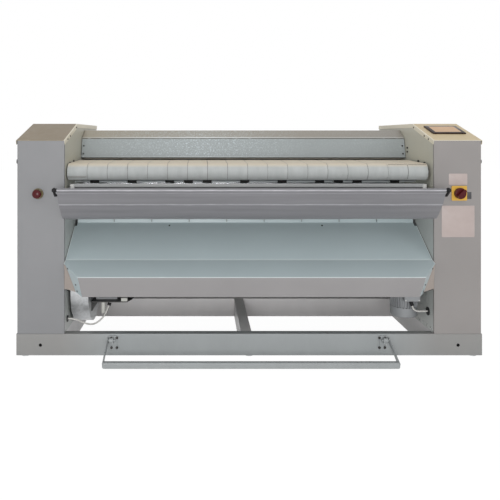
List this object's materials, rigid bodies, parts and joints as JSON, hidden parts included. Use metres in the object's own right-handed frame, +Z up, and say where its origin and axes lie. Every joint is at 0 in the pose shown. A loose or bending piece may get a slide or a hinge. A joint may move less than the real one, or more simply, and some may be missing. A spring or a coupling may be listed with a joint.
{
  "type": "flatwork ironer",
  "caption": "Front-feed cylinder ironer for laundry linen: cotton feed belts, guard and hood over the heated cylinder, cloth sling, return chute and foot bar.",
  "frame": {"origin": "middle of the footprint, foot bar included, on the floor", "axes": "+X to the right seen from the feed side, +Y into the machine towards its back, +Z up"},
  "size_m": [2.1, 0.983, 1.052],
  "materials": {
    "column_paint": "satin light warm grey paint",
    "wall_paint": "satin grey paint",
    "frame_paint": "satin blue-grey paint",
    "sheet_paint": "satin blue-grey paint",
    "belt_cotton": "woven cotton tape",
    "sling_fabric": "smooth coated cloth",
    "bright_steel": "turned steel",
    "chromed_steel": "polished",
    "zinc_steel": "zinc plated",
    "motor_paint": "painted casting",
    "cast_alloy": "cast",
    "black_plastic": "matt",
    "grey_plastic": "matt",
    "white_plastic": "matt",
    "cable_jacket": "smooth white jacket",
    "red_plastic": "moulded",
    "yellow_plastic": "moulded",
    "dark_paint": "dark paint",
    "black_screw": "blackened"
  },
  "bodies": {
    "frame": {"base_cross_beams": "frame_paint", "base_long_beams": "frame_paint", "levelling_feet": "zinc_steel", "left_inner_wall": "wall_paint", "right_inner_wall": "wall_paint", "left_front_panel": "column_paint", "right_front_panel": "column_paint", "left_side_panel": "column_paint", "right_side_panel": "column_paint", "left_lid": "column_paint", "right_lid": "column_paint", "touch_panel": "black_plastic", "control_box": "grey_plastic", "hood": "sheet_paint", "rear_cover": "wall_paint", "guard_hinges": "zinc_steel", "feed_belts": "belt_cotton", "belt_guide_bar": "bright_steel", "belt_guides": "black_plastic", "heating_elements": "zinc_steel", "shaft_bearings": "zinc_steel", "ironing_belts": "belt_cotton", "stripper_fingers": "bright_steel", "sling_cloth": "sling_fabric", "sling_rods": "bright_steel", "sling_support": "white_plastic", "sling_hooks": "black_plastic", "chute_panel": "sheet_paint", "chute_lip": "sheet_paint", "chute_ends": "sheet_paint", "drive_motor": "motor_paint", "gearbox": "cast_alloy", "drive_chain": "bright_steel", "blower_housing": "zinc_steel", "exhaust_duct": "zinc_steel", "fan_motor": "motor_paint", "fan_bracket": "dark_paint", "fan_capacitor": "white_plastic", "motor_cable": "cable_jacket", "fan_cable": "cable_jacket", "cable_fittings": "black_plastic", "switch_bezels": "yellow_plastic", "pedal_brackets": "frame_paint", "bolts": "black_screw"},
    "cylinder": {"heated_cylinder": "chromed_steel", "cylinder_sprocket": "bright_steel"},
    "feed_front": {"feed_front_roller": "bright_steel"},
    "feed_rear": {"feed_rear_roller": "bright_steel"},
    "iron_upper": {"upper_roller": "bright_steel"},
    "iron_lower": {"lower_roller": "bright_steel"},
    "iron_rear_top": {"rear_top_roller": "bright_steel"},
    "iron_rear_bottom": {"rear_bottom_roller": "bright_steel"},
    "drive_pinion": {"drive_sprocket": "bright_steel"},
    "fan": {"blower_impeller": "zinc_steel"},
    "stop_plunger": {"estop_plunger": "white_plastic"},
    "stop_head": {"estop_head": "red_plastic"},
    "knob": {"switch_knob": "red_plastic"},
    "pedal": {"pedal_bar": "frame_paint", "pedal_arms": "frame_paint"},
    "guard": {"hand_guard": "sheet_paint"}
  },
  "joints": [
    {"name": "cylinder_spin", "type": "hinge", "parent": "frame", "child": "cylinder", "pos_m": [0, 0.1915, 0.735], "axis": [1, 0, 0], "continuous": true},
    {"name": "feed_front_spin", "type": "hinge", "parent": "frame", "child": "feed_front", "pos_m": [0, -0.2575, 0.8265], "axis": [1, 0, 0], "continuous": true},
    {"name": "feed_rear_spin", "type": "hinge", "parent": "frame", "child": "feed_rear", "pos_m": [0, -0.0285, 0.838], "axis": [1, 0, 0], "continuous": true},
    {"name": "iron_upper_spin", "type": "hinge", "parent": "frame", "child": "iron_upper", "pos_m": [0, 0.0865, 0.906], "axis": [1, 0, 0], "continuous": true},
    {"name": "iron_lower_spin", "type": "hinge", "parent": "frame", "child": "iron_lower", "pos_m": [0, 0.0165, 0.6], "axis": [1, 0, 0], "continuous": true},
    {"name": "iron_rear_top_spin", "type": "hinge", "parent": "frame", "child": "iron_rear_top", "pos_m": [0, 0.3965, 0.9], "axis": [1, 0, 0], "continuous": true},
    {"name": "iron_rear_bottom_spin", "type": "hinge", "parent": "frame", "child": "iron_rear_bottom", "pos_m": [0, 0.3965, 0.56], "axis": [1, 0, 0], "continuous": true},
    {"name": "drive_spin", "type": "hinge", "parent": "frame", "child": "drive_pinion", "pos_m": [0, -0.1785, 0.345], "axis": [1, 0, 0], "continuous": true},
    {"name": "fan_spin", "type": "hinge", "parent": "frame", "child": "fan", "pos_m": [0, -0.0875, 0.266], "axis": [1, 0, 0], "continuous": true},
    {"name": "stop_press", "type": "slide", "parent": "frame", "child": "stop_plunger", "axis": [0, 1, 0], "range_m": [0, 0.005], "stiffness_N_per_m": 600, "springref_m": -0.003},
    {"name": "stop_twist", "type": "hinge", "parent": "stop_plunger", "child": "stop_head", "pos_m": [-0.9495, -0.3485, 0.732], "axis": [0, 1, 0], "range_deg": [0, 30], "stiffness_Nm_per_rad": 0.05},
    {"name": "switch_turn", "type": "hinge", "parent": "frame", "child": "knob", "pos_m": [0.944, -0.3485, 0.734], "axis": [0, 1, 0], "range_deg": [0, 90]},
    {"name": "pedal_lift", "type": "hinge", "parent": "frame", "child": "pedal", "pos_m": [-0.005, -0.3425, 0.076], "axis": [-1, 0, 0], "range_deg": [0, 22]},
    {"name": "guard_swing", "type": "hinge", "parent": "frame", "child": "guard", "pos_m": [0, 0.0635, 0.971], "axis": [1, 0, 0], "range_deg": [0, 3], "stiffness_Nm_per_rad": 10, "springref_deg": -5.73}
  ],
  "couplings": [
    {"joint": "feed_front_spin", "follows": "cylinder_spin", "ratio": 4.2914},
    {"joint": "feed_rear_spin", "follows": "cylinder_spin", "ratio": 5.0233},
    {"joint": "iron_upper_spin", "follows": "cylinder_spin", "ratio": -5.0625},
    {"joint": "iron_lower_spin", "follows": "cylinder_spin", "ratio": -5.0625},
    {"joint": "iron_rear_top_spin", "follows": "cylinder_spin", "ratio": -5.0625},
    {"joint": "iron_rear_bottom_spin", "follows": "cylinder_spin", "ratio": -5.0625},
    {"joint": "drive_spin", "follows": "cylinder_spin", "ratio": 3.8}
  ]
}
